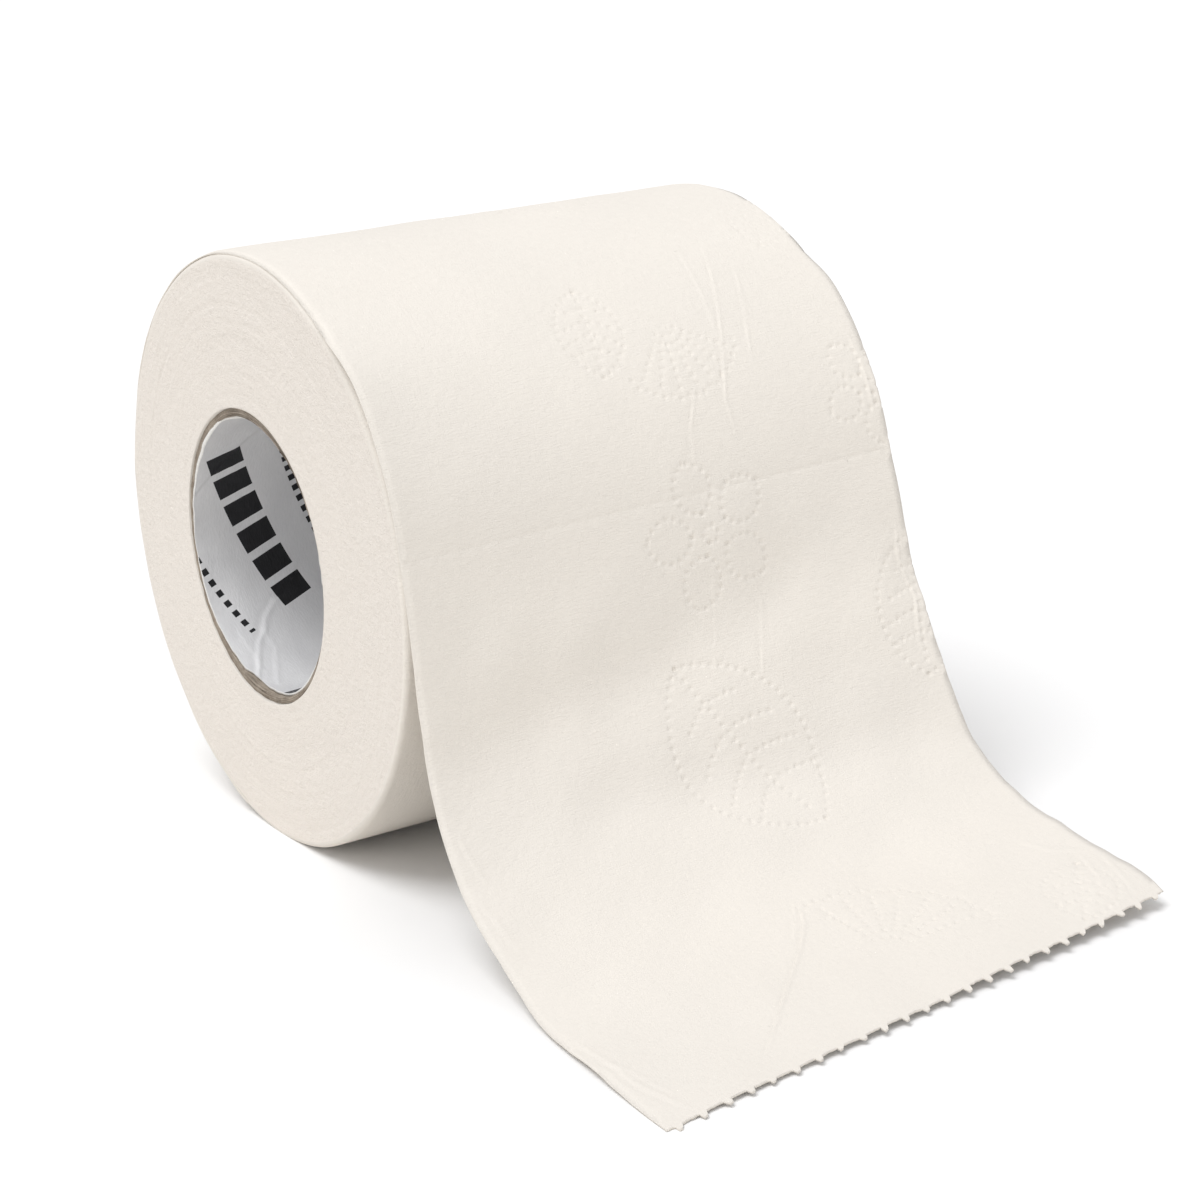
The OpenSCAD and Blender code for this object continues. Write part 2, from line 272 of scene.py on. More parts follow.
def leaf(size):
    """A pointed oval of dots with a midrib and curved veins."""
    w, h = 0.34 * size, 0.5 * size
    u = np.linspace(-1, 1, 41)
    side = np.array([(w * (1 - k * k) ** 0.8, h * k) for k in u])
    lines = [side, side * (-1, 1), [(0, -0.95 * h), (0, 0.8 * h)]]
    for k in (-0.62, -0.3, 0.02, 0.34):
        out = np.linspace(0.16, 0.74, 9) * w * (1 - k * k)
        vein = np.stack([out, (k + 0.3 * (out / w) ** 1.5 + 0.06) * h], 1)
        lines += [vein, vein * (-1, 1)]
    return np.concatenate([spaced(line, dot_step) for line in lines])


def fan(size):
    """Ribs of dots that spread from a foot, closed by a scalloped edge."""
    r = 0.62 * size
    foot = np.array([0, 0.5 * size])
    angles = np.linspace(-48, 48, 7)
    lines = [
        [(k * r * sind(a), -k * r * cosd(a)) for k in np.linspace(0.32, 0.9, 9)] for a in angles
    ]
    edge = np.linspace(-56, 56, 90)
    bulge = 1 + 0.05 * np.abs(np.sin(np.radians((edge + 56) / 16 * 180)))
    lines.append([(r * b * sind(a), -r * b * cosd(a)) for a, b in zip(edge, bulge)])
    lines.append([(0.2 * r * sind(a), -0.2 * r * cosd(a)) for a in np.linspace(-50, 50, 9)])
    return np.concatenate([spaced(line, dot_step) for line in lines]) + foot * 0.5


def flower(size):
    """Five petals of dots about a small middle."""
    a = np.linspace(0, 360, 31)
    u = np.linspace(-1, 1, 31)
    r = 0.06 * size
    lines = [np.stack([r * sind(a), r * cosd(a)], 1)]
    for k in np.arange(0, 360, 72):
        side = np.stack([0.15 * size * (1 - u * u) ** 0.7, size * (0.33 + 0.18 * u)], 1)
        for line in (side, side[-2::-1] * (-1, 1)):
            lines.append(turned(line, (0, 0), k))
    return np.concatenate([spaced(line, dot_step) for line in lines])


# Embossed motifs: kind, place, size, turn and strength
motifs = [
    (leaf, (-2.5, -28), 17, 8, 0.8),
    (fan, (11.5, -22), 21, 170, 0.8),
    (flower, (9, 8.5), 24, 20, 1.0),
    (leaf, (6.5, 43), 34, -28, 1.0),
    (fan, (8, 86), 27, 40, 1.0),
    (flower, (46, -9), 19, 0, 0.9),
    (leaf, (46, 28), 24, 10, 0.9),
    (fan, (12, -63), 20, 0, 0.45),
    (leaf, (43, -46), 15, 30, 0.45),
    (leaf, (36.5, 93), 16, 35, 0.8),
    (flower, (-30, -80), 20, 40, 0.7),
    (leaf, (30, -92), 26, -20, 0.8),
    (fan, (-8, -100), 20, 190, 0.7),
    (flower, (4, -122), 20, 10, 0.8),
    (leaf, (-34, -134), 26, 24, 0.8),
    (fan, (34, -140), 22, 10, 0.8),
    (leaf, (2, -158), 30, -30, 0.8),
    (flower, (-32, -172), 20, 30, 0.8),
    (fan, (12, -190), 24, 170, 0.8),
    (flower, (38, -178), 20, 0, 0.8),
]
dot_r = 0.62
dot_depth = 0.24

# How far the web bends at the perforation line, and the line's own depth and half width
bend_height = 0.35
perforation_depth = 0.07
perforation_half = 0.34
# Share of the wrinkles' heights that the finished web keeps
wrinkle_lift = 0.6


def line_distance(x, a, points):
    """Distance of each place from a line, negative on its left, and how far along the line it is."""
    points = np.asarray(points, float)
    lengths = np.hypot(*np.diff(points, axis=0).T)
    starts = np.concatenate([[0], np.cumsum(lengths)])
    best = np.full(x.shape, 1e9)
    along = np.zeros(x.shape)
    for (x0, a0), (x1, a1), length, start in zip(points, points[1:], lengths, starts):
        k = np.clip(((x - x0) * (x1 - x0) + (a - a0) * (a1 - a0)) / length ** 2, 0, 1)
        d = np.hypot(x - x0 - k * (x1 - x0), a - a0 - k * (a1 - a0))
        closer = d < np.abs(best)
        along = np.where(closer, (start + k * length) / starts[-1], along)
        side = np.where((x - x0) * (a1 - a0) < (a - a0) * (x1 - x0), -1, 1)
        best = np.where(closer, d * side, best)
    return best, along


def soft_relief(x, a, t):
    """Slow undulation of the sheets: valleys, cockle and the flutter of both edges."""
    h = np.zeros(x.shape)
    for points, depth, half in valleys:
        d, k = line_distance(x, a, points)
        h -= depth * np.exp(-(d / half) ** 2) * ramp(np.minimum(k, 1 - k) / 0.2 + 0.3)
    # The web bends a little at the perforation line
    past = np.clip(a - perforation_at, 0, None)
    h += bend_height * (1 - np.exp(-past / 5)) * np.exp(-past / 30) * between(-12, 25, x)
    free = between(-5, 30, a)
    local = np.random.default_rng(11)
    for _ in range(14):
        length, angle, phase = local.uniform(9, 30), local.uniform(0, 360), local.uniform(0, 6.3)
        wave = np.sin((x * cosd(angle) + a * sind(angle)) * 2 * np.pi / length + phase)
        h += wave * length * mix(0.0007, 0.0022, free)
    for edge, gain in ((t, 0.25), (1 - t, 0.4)):
        flutter = sum(
            np.sin(a * 2 * np.pi / length + phase) * share
            for length, phase, share in ((31, 1.0, 0.5), (17, 4.1, 0.3), (9.5, 2.2, 0.2), (5.3, 0.4, 0.1))
        )
        h += gain * flutter * np.exp(-edge * sheet_w / 5) * mix(0.25, 1, free)
    return h


def sharp_relief(x, a):
    """Narrow relief: wrinkles and the perforation line."""
    h = np.zeros(x.shape)
    for points, height, half in wrinkles:
        # A raised fold with a groove on its left; only rows of the web near it are worked out
        rows = (np.abs(a - np.mean([p[1] for p in points])) < 60).any(1)
        d, k = line_distance(x[rows], a[rows], points)
        fold = 0.75 * half
        ridge = np.exp(-(d / fold - 0.6) ** 2) - 0.7 * np.exp(-(d / fold + 1.1) ** 2)
        h[rows] += wrinkle_lift * height * ridge * ramp(np.minimum(k, 1 - k) / 0.25 + 0.05)
    cell = (x / sheet_w + 0.5) * nub_cells % 1
    slit = between(0.16, 0.1, np.abs(cell - 0.5)) * 0.7
    line = np.exp(-((a - perforation_at) / perforation_half) ** 2)
    h -= perforation_depth * line * (1 - slit) * between(0, 2, sheet_w / 2 - np.abs(x))
    return h


def press_dots(h, x, a):
    """Presses the motifs' dots into the lattice's heights."""
    for kind, centre, size, turn, strength in motifs:
        for dx, da in turned(kind(size), centre, turn):
            j0, j1 = np.searchsorted(x[0], (dx - dot_r, dx + dot_r))
            column = a[:, min((j0 + j1) // 2, x.shape[1] - 1)]
            i0, i1 = np.searchsorted(column, (da - 1.6 * dot_r, da + 1.6 * dot_r))
            if i0 == i1 or j0 == j1:
                continue
            d = np.hypot(x[i0:i1, j0:j1] - dx, a[i0:i1, j0:j1] - da)
            bowl = np.cos(np.pi / 2 * np.clip(d / dot_r, 0, 1)) ** 2
            h[i0:i1, j0:j1] -= dot_depth * strength * bowl


# Sheets as meshes

# A coarse cell has sub fine ones along each side, and is cut up only where narrow relief is
# higher than fine_from
sub = 4
fine_from = 0.03
cell_columns = 4
columns = nub_cells * cell_columns
# Coarse rows from each whole q to the next
coarse_rows = {-2: 102, -1: 110, 0: 106}
# Nubs: shortest and longest, and how far the bays between them bow in, as shares of nub_l
nub_share = (0.6, 1.1)
bay_bow = 0.12
# How uneven the torn edge is, and how far the nubs' tips lean, in mm
fray_by = 0.07
lean_by = 0.35
# Share of a nub's width that it loses on the way to its tip
nub_taper = 0.62
# The skins close in on each other by this much at the side edges
edge_pinch = 0.08


def column_places():
    """Places of the fine columns across the sheet, 0 to 1, with a nub in each cell."""
    half = nub_w / (sheet_w / nub_cells) / 2
    marks = [0, 0.5 - half, 0.5, 0.5 + half]
    coarse = [(c + f) / nub_cells for c in range(nub_cells) for f in marks] + [1.0]
    return np.interp(np.arange(columns * sub + 1) / sub, np.arange(columns + 1), coarse)


def web_lattice(q_from, q_to, torn):
    """Points of the outside of the web at each fine row and column, with their flat places.
    A torn web has one more coarse row, for the nubs."""
    ts = column_places()
    q = np.linspace(-2, 2, 1601)
    marks = [m for m in (-2, -1, 0, 2) if q_from <= m <= q_to]
    counts = [coarse_rows[m] * sub for m in marks[:-1]]
    rows = sum(counts) + 1 + (sub if torn else 0)
    y, z, a, x = (np.empty((rows, len(ts))) for _ in range(4))
    local = np.random.default_rng(5)
    lengths = nub_l * local.uniform(*nub_share, nub_cells + 1)
    fray = local.uniform(-fray_by, fray_by, len(ts))
    for j, t in enumerate(ts):
        cy, cz = web_yz(t, q)
        along = np.concatenate([[0], np.cumsum(np.hypot(np.diff(cy), np.diff(cz)))])
        at = [np.interp(m, q, along) for m in marks]
        at[0] += joint_gap
        if torn:
            cell, part = divmod(t * nub_cells, 1)
            bay = np.sin(np.pi * ((part + 0.5) % 1))
            nub = lengths[min(int(cell), nub_cells - 1)]
            bow = bay_bow * nub_l * bay + fray[j]
            at[-1] -= nub_l + bow
        places = np.concatenate([
            np.linspace(s, e, c + 1)[:-1] for s, e, c in zip(at, at[1:], counts)
        ] + [[at[-1]]])
        if torn:
            places = np.concatenate([places, at[-1] + (nub + bow) * np.arange(1, sub + 1) / sub])
        y[:, j], z[:, j] = np.interp(places, along, cy), np.interp(places, along, cz)
        a[:, j] = places - np.interp(0, q, along)
        at_q = np.interp(places, along, q)
        spread = -mix(spread_near, draw_far, t) * ramp(np.clip(at_q, 0, 2) / 2)
        x[:, j] = (t - 0.5) * 2 * half_width(t, at_q) + spread
        drop = rim_drop((t - 0.5) * 2 * half_width(t, at_q)) * (at_q < 0)
        up = np.interp(at_q, (-2, -1, 0), (wrapped_from, loose_from, leave(t)))
        drop = drop * between(45, 62, up)
        y[:, j] += drop * cosd(up)
        z[:, j] -= drop * sind(up)
    flat_x = np.broadcast_to((ts - 0.5) * sheet_w, x.shape)
    return np.stack([x, y, z], -1), flat_x, a


def lattice_normals(p):
    """Outward normals of the lattice's points."""
    n = np.cross(np.gradient(p, axis=0), np.gradient(p, axis=1))
    return n / np.linalg.norm(n, axis=2)[..., None]


def cell_ring(i, j, fine):
    """Corner places of a coarse cell, with those that its finer neighbours add on its sides."""
    rows, cols = fine.shape
    top, left = i * sub, j * sub
    sides = (
        ((i, j - 1), [(top + k, left) for k in range(sub)]),
        ((i + 1, j), [(top + sub, left + k) for k in range(sub)]),
        ((i, j + 1), [(top + sub - k, left + sub) for k in range(sub)]),
        ((i - 1, j), [(top, left + sub - k) for k in range(sub)]),
    )
    ring = []
    for (ni, nj), places in sides:
        inside = 0 <= ni < rows and 0 <= nj < cols
        ring += places if inside and fine[ni, nj] else places[:1]
    return ring


def skin_faces(cells, fine):
    """Polygons of one skin, as lists of lattice places: small quads in the fine cells."""
    faces = []
    for i, j in zip(*np.nonzero(cells)):
        if fine[i, j]:
            faces += [
                [(r, c), (r + 1, c), (r + 1, c + 1), (r, c + 1)]
                for r in range(i * sub, i * sub + sub) for c in range(j * sub, j * sub + sub)
            ]
        else:
            faces.append(cell_ring(i, j, fine))
    return faces


def rim_edges(faces):
    """Edges that only one polygon has, in that polygon's direction."""
    seen = {}
    for face in faces:
        for a, b in zip(face, face[1:] + face[:1]):
            if (b, a) in seen:
                del seen[(b, a)]
            else:
                seen[(a, b)] = True
    return list(seen)


def shape_nubs(p):
    """Narrows the nubs of a torn lattice to their tips, and makes them lean a little."""
    lean = np.random.default_rng(3).uniform(-lean_by, lean_by, nub_cells)
    share = np.arange(1, sub + 1)[:, None] / sub
    ts = column_places()
    cell = np.minimum((ts * nub_cells).astype(int), nub_cells - 1)
    off = (ts - (cell + 0.5) / nub_cells) * sheet_w
    p[-sub:, :, 0] += -off * nub_taper * share ** 1.2 + lean[cell] * share


def two_skins(p, n, x, soft, sharp):
    """Outer and inner skin of a sheet: the inner one has only the soft relief."""
    side = between(0, 0.5, x + sheet_w / 2) * between(0, 0.5, sheet_w / 2 - x)
    pinch = edge_pinch * (1 - side)
    outer = p + n * (soft + sharp - pinch)[..., None]
    inner = p + n * (soft - ply_t + pinch)[..., None]
    outer[..., 2] = np.maximum(outer[..., 2], floor_z + ply_t)
    inner[..., 2] = np.maximum(inner[..., 2], floor_z)
    return outer, inner


def wall_faces(top, under, number):
    """Walls between the rims of two skins: each coarse stretch of the rim is one polygon."""
    next_on_top = dict(rim_edges(top))
    faces = []
    for start, end in rim_edges(under):
        chain = [start]
        while chain[-1] != end:
            chain.append(next_on_top[chain[-1]])
        faces.append([number(c, 0) for c in reversed(chain)] + [number(start, 1), number(end, 1)])
    return faces


def make_sheet(name, q_from, q_to, torn, material):
    """One stretch of the web as a closed mesh of two skins and the walls between them."""
    p, x, a = web_lattice(q_from, q_to, torn)
    n = lattice_normals(p)
    if torn:
        shape_nubs(p)
    sharp = sharp_relief(x, a)
    press_dots(sharp, x, a)
    skins = two_skins(p, n, x, soft_relief(x, a, x / sheet_w + 0.5), sharp)
    rows = (p.shape[0] - 1) // sub
    blocks = np.abs(sharp[:-1, :-1]).reshape(rows, sub, columns, sub).max((1, 3))
    cells = np.ones((rows, columns), bool)
    fine = blocks > fine_from
    edge_fine = np.zeros_like(fine)
    if torn:
        # Only the two middle cells of each four are nub, and the torn edge is fine on both skins
        cells[-1] = np.isin(np.arange(columns) % cell_columns, (1, 2))
        fine[-3:] = True
        edge_fine[-2:] = True
    top = skin_faces(cells, fine & cells)
    under = skin_faces(cells, edge_fine & cells)

    def number(place, skin):
        """A lattice place's own number among the points of both skins."""
        return (place[0] * p.shape[1] + place[1]) * 2 + skin

    faces = [[number(c, 0) for c in face] for face in top]
    faces += [[number(c, 1) for c in reversed(face)] for face in under]
    faces += wall_faces(top, under, number)
    used = sorted({v for face in faces for v in face})
    place_of = {v: k for k, v in enumerate(used)}
    points = np.stack(skins, 2).reshape(-1, 3)
    flat = np.repeat(np.stack([x, a], -1).reshape(-1, 2), 2, axis=0) * uv_scale
    faces = [[place_of[v] for v in face] for face in faces]
    return new_object(name, points[used], faces, [material], flat[used])


# Meshes

def new_object(name, verts_mm, faces, materials, uvs=None, face_material=None):
    """A smooth mesh object from points in mm; uvs are given per point."""
    mesh = bpy.data.meshes.new(name)
    mesh.from_pydata((np.asarray(verts_mm) * MM).tolist(), [], faces)
    mesh.update()
    if uvs is not None:
        layer = mesh.uv_layers.new(name="UVMap")
        index = np.empty(len(mesh.loops), np.int32)
        mesh.loops.foreach_get("vertex_index", index)
        layer.data.foreach_set("uv", np.asarray(uvs, np.float32)[index].ravel())
    for m in materials:
        mesh.materials.append(m)
    if face_material is not None:
        mesh.polygons.foreach_set("material_index", np.asarray(face_material, np.int32))
    mesh.polygons.foreach_set("use_smooth", np.ones(len(mesh.polygons), bool))
    obj = bpy.data.objects.new(name, mesh)
    bpy.context.scene.collection.objects.link(obj)
    return obj


def ring_faces(around, stations):
    """Quads of a closed tube of rings: around points in each, stations rings in a loop."""
    i, k = np.meshgrid(np.arange(around), np.arange(stations), indexing="ij")
    ni, nk = (i + 1) % around, (k + 1) % stations
    quads = np.stack([i * stations + k, i * stations + nk, ni * stations + nk, ni * stations + k], -1)
    return quads.reshape(-1, 4)


def close_uvs(obj, turn):
    """Lets the flat places of a ring of quads run on past a whole turn, instead of back."""
    layer = obj.data.uv_layers[0].data
    places = np.empty(len(layer) * 2, np.float32)
    layer.foreach_get("uv", places)
    y = places.reshape(-1, 4, 2)[..., 1]
    y += turn * (y < y.max(axis=1, keepdims=True) - turn / 2)
    layer.foreach_set("uv", places)


# Wound turns

# Turns whose edges are told apart on an end face, and steps round the section
turn_count = 26
end_steps = 96
rim_steps = 7
side_steps = 34
bore_steps = 5
around = 360
# On an end face: how far turns stand out, the grooves between them, and the slow waves
turn_out = 0.022
turn_groove = 0.01
end_wave = 0.09
# The end faces lie this far inside the roll's full width, to leave room for that relief
end_inset = 0.2


def end_relief(f, turned_by, knots, seed):
    """Axial relief of an end face: each turn stands a little in or out, with a groove between."""
    n = f * turn_count - turned_by / 360
    turn = np.floor(n)
    along = (turn + turned_by / 360) * 5 + 10
    out = np.interp(along, np.arange(len(knots)), knots)
    groove = np.abs(2 * (n - turn) - 1) ** 5
    local = np.random.default_rng(seed)
    broad = 0
    for k in range(1, 6):
        phase, weight = local.uniform(0, 6.3), local.uniform(0.4, 1)
        broad = broad + weight * np.sin(k * np.radians(turned_by) + phase + 3 * f * k) / k
    return turn_out * out - turn_groove * groove + end_wave * broad


def wound_section():
    """Stations round the section of the wound turns: part of the section, and place in it."""
    rim = np.linspace(0, 1, rim_steps + 1)[1:]
    parts = (
        ("near", np.linspace(0, 1, end_steps + 1)),
        ("rim_a", rim),
        ("side", np.linspace(0, 1, side_steps + 1)[1:]),
        ("rim_b", rim),
        ("far", np.linspace(1, 0, end_steps + 1)[1:]),
        ("bore", np.linspace(0, 1, bore_steps + 1)[1:-1]),
    )
    return [(part, f) for part, places in parts for f in places]


def body_r(t, angle):
    """Outside of the wound turns, a ply lower where a whole sheet still lies on them."""
    covered = between(540 - wrapped_from - 0.5, 540 - wrapped_from + 0.5, angle)
    return wound_r(t, angle) - (ply_t + layer_gap) * covered


def make_wound_turns(side_material, end_material):
    """The wound turns as one closed ring, whose outside steps in by one turn at the nip."""
    stations = wound_section()
    turned_by = np.arange(around) * 360 / around
    knots = [rng.normal(0, 1, turn_count * 5 + 30) for _ in range(2)]
    verts = np.empty((around, len(stations), 3))
    uvs = np.empty((around, len(stations), 2))
    is_end = []
    for k, (part, f) in enumerate(stations):
        end = {"near": 0, "rim_a": 0, "far": 1, "rim_b": 1}.get(part, f)
        sign = 2 * end - 1
        angle = nip(end) + turned_by
        outer = body_r(end, angle)
        if part in ("near", "far"):
            r = mix(bore_r, outer - rim_r, f)
            relief = end_relief(f, turned_by, knots[end], 20 + end)
            x = sign * (roll_w / 2 - end_inset + relief)
            centre = f
        elif part in ("rim_a", "rim_b"):
            turn = 90 * (f if part == "rim_a" else 1 - f)
            relief = end_relief(1, turned_by, knots[end], 20 + end)
            uneven = np.interp(turned_by / 9, np.arange(40), knots[end][:40], period=40)
            soft = rim_r * (1 + 0.12 * uneven)
            r = outer - soft + soft * sind(turn)
            x = sign * (roll_w / 2 - end_inset + relief * cosd(turn) - soft * (1 - cosd(turn)))
            centre = 1
        elif part == "side":
            r = body_r(f, nip(f) + turned_by)
            x = np.full(around, (f - 0.5) * (roll_w - 2 * end_inset - 2 * rim_r))
            centre = 1
        else:
            r = np.full(around, bore_r)
            x = np.full(around, (0.5 - f) * (roll_w - 1))
            centre = 0
        y = -core_back * centre + r * cosd(angle)
        z = mid_z(end) * centre + r * sind(angle)
        verts[:, k] = np.stack([x, y, np.maximum(z, floor_z)], -1)
        uvs[:, k] = np.stack([x, np.radians(turned_by) * roll_r], -1) * uv_scale
        is_end.append(part in ("near", "far"))
    faces = ring_faces(around, len(stations))
    ends = np.array(is_end)
    both = ends & np.roll(ends, -1)
    obj = new_object(
        "wound_turns", verts.reshape(-1, 3), faces.tolist(), [side_material, end_material],
        uvs.reshape(-1, 2), np.tile(both, around).astype(int),
    )
    close_uvs(obj, 2 * math.pi * roll_r * uv_scale)
    return obj


# Core

core_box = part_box("core_tube")
core_r = (core_box[1].z - core_box[0].z) / 2 / MM
core_half = (core_box[1].x - core_box[0].x) / 2 / MM
liner_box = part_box("core_liner")
liner_r = (liner_box[1].z - liner_box[0].z) / 2 / MM
tube_wall = 1.0
liner_wall = 0.3
# Clearance at the outside of the tube and of the liner, and the room for the liner's relief
core_play = 0.02
liner_room = 0.15
ring_around = 720
# Tube's cut ends: how far the lip frays inward, how far the cut lies back and how uneven it is,
# and how far the board's layers stand apart
lip_fray = 0.22
cut_back = 0.3
cut_uneven = 0.2
layer_split = 0.22


def ragged(count, seed, rough):
    """A torn line round an end: slow waves and small nicks, about -1 to 1."""
    local = np.random.default_rng(seed)
    a = np.linspace(0, 2 * np.pi, count, endpoint=False)
    line = sum(
        np.sin(k * a + local.uniform(0, 6.3)) * local.uniform(0.4, 1) / k ** rough
        for k in range(1, 60)
    )
    return line / np.abs(line).max()


def make_tube(material):
    """The cardboard tube: its wall swells and frays a little at each end."""
    angle = np.arange(ring_around) * 360 / ring_around
    inner = core_r - tube_wall
    outer = core_r - core_play
    swell = np.interp(
        angle, (0, 50, 90, 130, 180, 240, 275, 287, 291, 294, 310, 360),
        (0, 0.1, 0.4, 0, -0.2, 0, 0.45, 0.5, 0.05, 0.5, 0.2, 0),
    )
    nick = [ragged(ring_around, 30 + e, 0.6) for e in (0, 1)]
    slow = [ragged(ring_around, 40 + e, 1.4) for e in (0, 1)]
    lips = (0.1, 0.3, 0.5, 0.7, 0.9)
    stations = (
        [("inner", f) for f in (0, 0.006, 0.014, 0.1, 0.5, 0.9, 0.986, 0.994, 1)]
        + [("lip_b", f) for f in lips] + [("outer", f) for f in (1, 0.5, 0)]
        + [("lip_a", f) for f in reversed(lips)]
    )
    verts = np.empty((ring_around, len(stations), 3))
    for k, (part, f) in enumerate(stations):
        end = {"lip_a": 0, "lip_b": 1}.get(part, f)
        e = int(round(end))
        sign = 2 * e - 1
        at_end = between(0.012, 0, abs(end - e))
        lip = inner - at_end * (swell + lip_fray * nick[e])
        back = cut_back + cut_uneven * nick[e] + cut_uneven * slow[e]
        x = (2 * end - 1) * core_half - sign * at_end * back
        if part == "inner":
            r = lip
        elif part == "outer":
            r = np.full(ring_around, outer)
        else:
            r = mix(lip, outer, f)
            layers = np.sin(14 * f + 3 * slow[e]) * (0.6 + nick[1 - e])
            x = x + sign * (0.1 * math.sin(math.pi * f) + layer_split * layers)
        verts[:, k] = np.stack([x, r * cosd(angle), r * sind(angle)], -1)
    faces = ring_faces(ring_around, len(stations))
    return new_object("cardboard_tube", verts.reshape(-1, 3), faces.tolist(), [material])


# Near end of the liner: how far it is torn back from the tube's end, by height angle
liner_torn_at = (0, 45, 90, 135, 225, 262, 282, 288, 292, 305, 330, 360)
liner_torn = (0.1, 0.3, 0.7, 0.5, 0.8, 1.5, 1.7, 1.5, 0.8, 0.6, 0.2, 0.1)
# The overlap's edge: where it meets the near end, and its rise round the bore a mm along it
seam_start = (-45, 8)
seam_rise = 1.37
# Creases, in mm along the bore and round it: points, height and half width
liner_creases = [
    ([(-34, -15), (-37.1, -18), (-38.3, -20.4), (-40.6, -23.2), (-43.0, -28.4), (-45.8, -33.7)], 0.2, 0.4),
    ([(-38.5, -20), (-38.2, -25), (-40, -29), (-42.5, -35)], 0.1, 0.45),
    ([(-43, -20), (-42.2, -25), (-43, -29)], 0.07, 0.4),
    ([(-41, 14), (-36, 6), (-33, -4)], 0.06, 0.5),
]


def make_liner(material, edge_material):
    """The paper liner: ragged ends, a slanting overlap and a few creases."""
    steps = 120
    angle = np.arange(ring_around) * 360 / ring_around
    ragged_ends = [
        0.22 * ragged(ring_around, 50 + e, 1.0) + 0.16 * ragged(ring_around, 60 + e, 0.35)
        for e in (0, 1)
    ]
    near = -core_half + np.interp(angle, liner_torn_at, liner_torn) + ragged_ends[0]
    far = core_half - 1.2 + ragged_ends[1]
    share = np.linspace(0, 1, steps + 1) ** 1.5
    x = mix(near[:, None], far[:, None], share)
    arc = np.radians((angle + 180) % 360 - 180) * liner_r
    arc = np.broadcast_to(arc[:, None], x.shape)
    past_seam = (arc - seam_start[1] - seam_rise * (x - seam_start[0])) / math.hypot(1, seam_rise)
    relief = 0.2 * between(-0.3, 0.3, past_seam) * between(45, 15, past_seam)
    relief += 0.12 * np.sin(x / 6 + arc / 5) + 0.05 * np.sin(x / 2.9 - arc / 8 + 1)
    relief += 0.12 * np.exp(-(x - near[:, None]) / 1.5) * np.sin(arc / 2.3 + np.sin(arc / 5))
    for points, height, half in liner_creases:
        d, _ = line_distance(x, arc, points)
        relief += height * (np.exp(-(d / half) ** 2) - 0.4 * np.exp(-((d - 2 * half) / (1.5 * half)) ** 2))
    inner_r = liner_r - liner_wall - liner_room - relief
    outer_r = np.full(inner_r.shape, liner_r - core_play)
    inner, outer = (
        np.stack([x, r * cosd(angle)[:, None], r * sind(angle)[:, None]], -1)
        for r in (inner_r, outer_r)
    )
    # The hidden outside goes back with a tenth of the steps
    back = slice(None, None, -10)
    verts = np.concatenate([inner, outer[:, back]], 1)
    uv = np.stack([x, arc], -1) * uv_scale
    uvs = np.concatenate([uv, uv[:, back]], 1)
    ring = np.zeros(verts.shape[1], int)
    ring[[steps, -1]] = 1
    faces = ring_faces(ring_around, verts.shape[1])
    obj = new_object(
        "paper_liner", verts.reshape(-1, 3), faces.tolist(), [material, edge_material],
        uvs.reshape(-1, 2), np.tile(ring, ring_around),
    )
    close_uvs(obj, 2 * math.pi * liner_r * uv_scale)
    return obj


# Materials

class Nodes:
    """A material's node tree, with a short way to add nodes and join them."""

    def __init__(self, name):
        self.material = bpy.data.materials.new(name)
        self.material.use_nodes = True
        self.tree = self.material.node_tree
        self.bsdf = self.tree.nodes["Principled BSDF"]

    def add(self, kind, *inputs, **settings):
        """A node of a kind, with its first inputs and its settings."""
        node = self.tree.nodes.new(kind)
        for key, value in settings.items():
            setattr(node, key, value)
        for socket, value in zip(node.inputs, inputs):
            self.set(socket, value)
        return node

    def set(self, socket, value):
        """Gives a socket a plain value, or joins it to a socket or to a node's first output."""
        if isinstance(value, bpy.types.Node):
            value = value.outputs[0]
        if isinstance(value, bpy.types.NodeSocket):
            self.tree.links.new(value, socket)
        else:
            socket.default_value = value

    def math(self, operation, *inputs):
        """A sum or other reckoning of its inputs."""
        return self.add("ShaderNodeMath", *inputs, operation=operation)

    def noise(self, vector, scale, detail=2.0, rough=0.5):
        """Noise at the places of vector, finer as scale grows."""
        node = self.add("ShaderNodeTexNoise")
        self.set(node.inputs["Vector"], vector)
        self.set(node.inputs["Scale"], scale)
        self.set(node.inputs["Detail"], detail)
        self.set(node.inputs["Roughness"], rough)
        return node

    def stretch(self, vector, *scale):
        """Places times a scale of their own along each axis."""
        node = self.add("ShaderNodeMapping")
        self.set(node.inputs["Vector"], vector)
        self.set(node.inputs["Scale"], scale)
        return node

    def colours(self, value, low, high, first, second):
        """A colour that runs from first to second as value runs from low to high."""
        node = self.add("ShaderNodeValToRGB")
        self.set(node.inputs["Fac"], value)
        node.color_ramp.elements[0].position = low
        node.color_ramp.elements[1].position = high
        node.color_ramp.elements[0].color = (*first, 1)
        node.color_ramp.elements[1].color = (*second, 1)
        return node

    def weighted(self, *pairs):
        """The sum of values, each times its weight."""
        total = None
        for value, weight in pairs:
            part = self.math("MULTIPLY", value, weight)
            total = part if total is None else self.math("ADD", total, part)
        return total

    def bump(self, height, depth_mm, strength=1.0):
        """Fine relief of the surface, as deep as depth_mm where height is 1."""
        node = self.add("ShaderNodeBump")
        self.set(node.inputs["Strength"], strength)
        self.set(node.inputs["Distance"], depth_mm * MM)
        self.set(node.inputs["Height"], height)
        self.set(self.bsdf.inputs["Normal"], node)

    def finish(self, roughness, **values):
        """Sets the last values of the surface and returns the material."""
        self.set(self.bsdf.inputs["Roughness"], roughness)
        for key, value in values.items():
            self.set(self.bsdf.inputs[key.replace("_", " ")], value)
        return self.material


